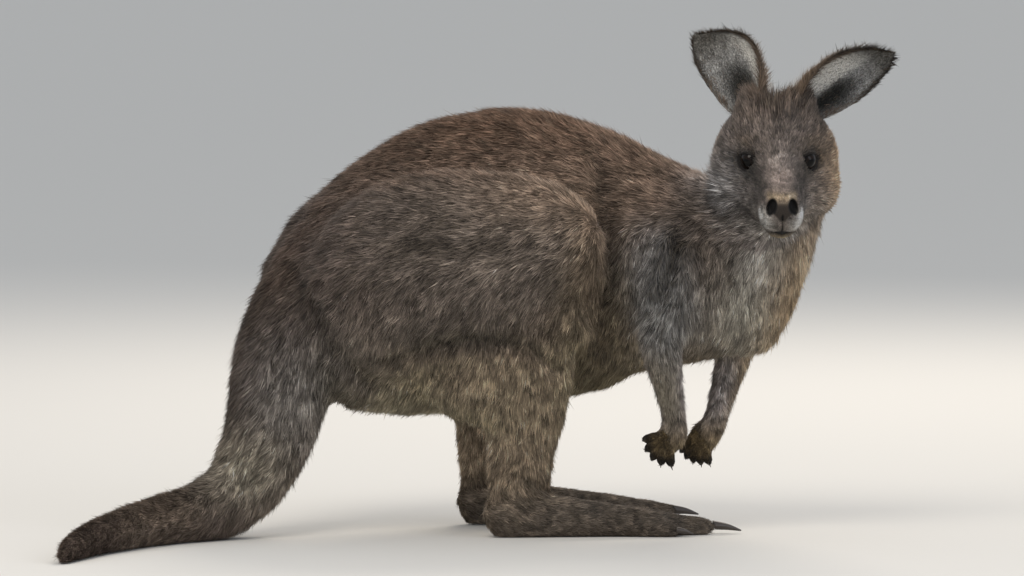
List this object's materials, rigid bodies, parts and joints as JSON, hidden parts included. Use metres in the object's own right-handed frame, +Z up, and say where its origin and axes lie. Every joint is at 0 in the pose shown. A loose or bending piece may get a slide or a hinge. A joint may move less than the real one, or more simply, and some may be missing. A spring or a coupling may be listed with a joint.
{
  "type": "grey kangaroo",
  "caption": "Grey kangaroo standing hunched on hind feet and tail, head turned aside with ears spread and forearms hanging: a still, life-size model.",
  "frame": {"origin": "on the floor, under the middle of the model's box", "axes": "+X is the way the body faces, +Y is towards the animal's left side, +Z is up"},
  "size_m": [0.986, 0.6214, 0.6016],
  "materials": {
    "coat": "dense short fur, matt, grey-brown",
    "ears": "thin skin with short velvety fur, grey inside, brown and black behind",
    "eyes": "wet, very dark brown",
    "claws": "smooth dark horn, a little worn"
  },
  "bodies": {
    "root": {"claw_fifth_toe_left": "claws", "claw_fifth_toe_right": "claws", "claw_finger_1_left": "claws", "claw_finger_1_right": "claws", "claw_finger_2_left": "claws", "claw_finger_2_right": "claws", "claw_finger_3_left": "claws", "claw_finger_3_right": "claws", "claw_finger_4_left": "claws", "claw_finger_4_right": "claws", "claw_finger_5_left": "claws", "claw_finger_5_right": "claws", "claw_fourth_toe_left": "claws", "claw_fourth_toe_right": "claws", "claw_second_toe_left": "claws", "claw_second_toe_right": "claws", "claw_third_toe_left": "claws", "claw_third_toe_right": "claws", "ear_left": "ears", "ear_right": "ears", "eye_left": "eyes", "eye_right": "eyes", "foot_left": "coat", "foot_right": "coat", "forearm_left": "coat", "forearm_right": "coat", "head": "coat", "neck": "coat", "paw_left": "coat", "paw_right": "coat", "shank_left": "coat", "shank_right": "coat", "tail_base": "coat", "tail_end": "coat", "tail_middle": "coat", "tail_tip": "coat", "thigh_left": "coat", "thigh_right": "coat", "trunk": "coat", "upper_arm_left": "coat", "upper_arm_right": "coat"}
  },
  "joints": []
}
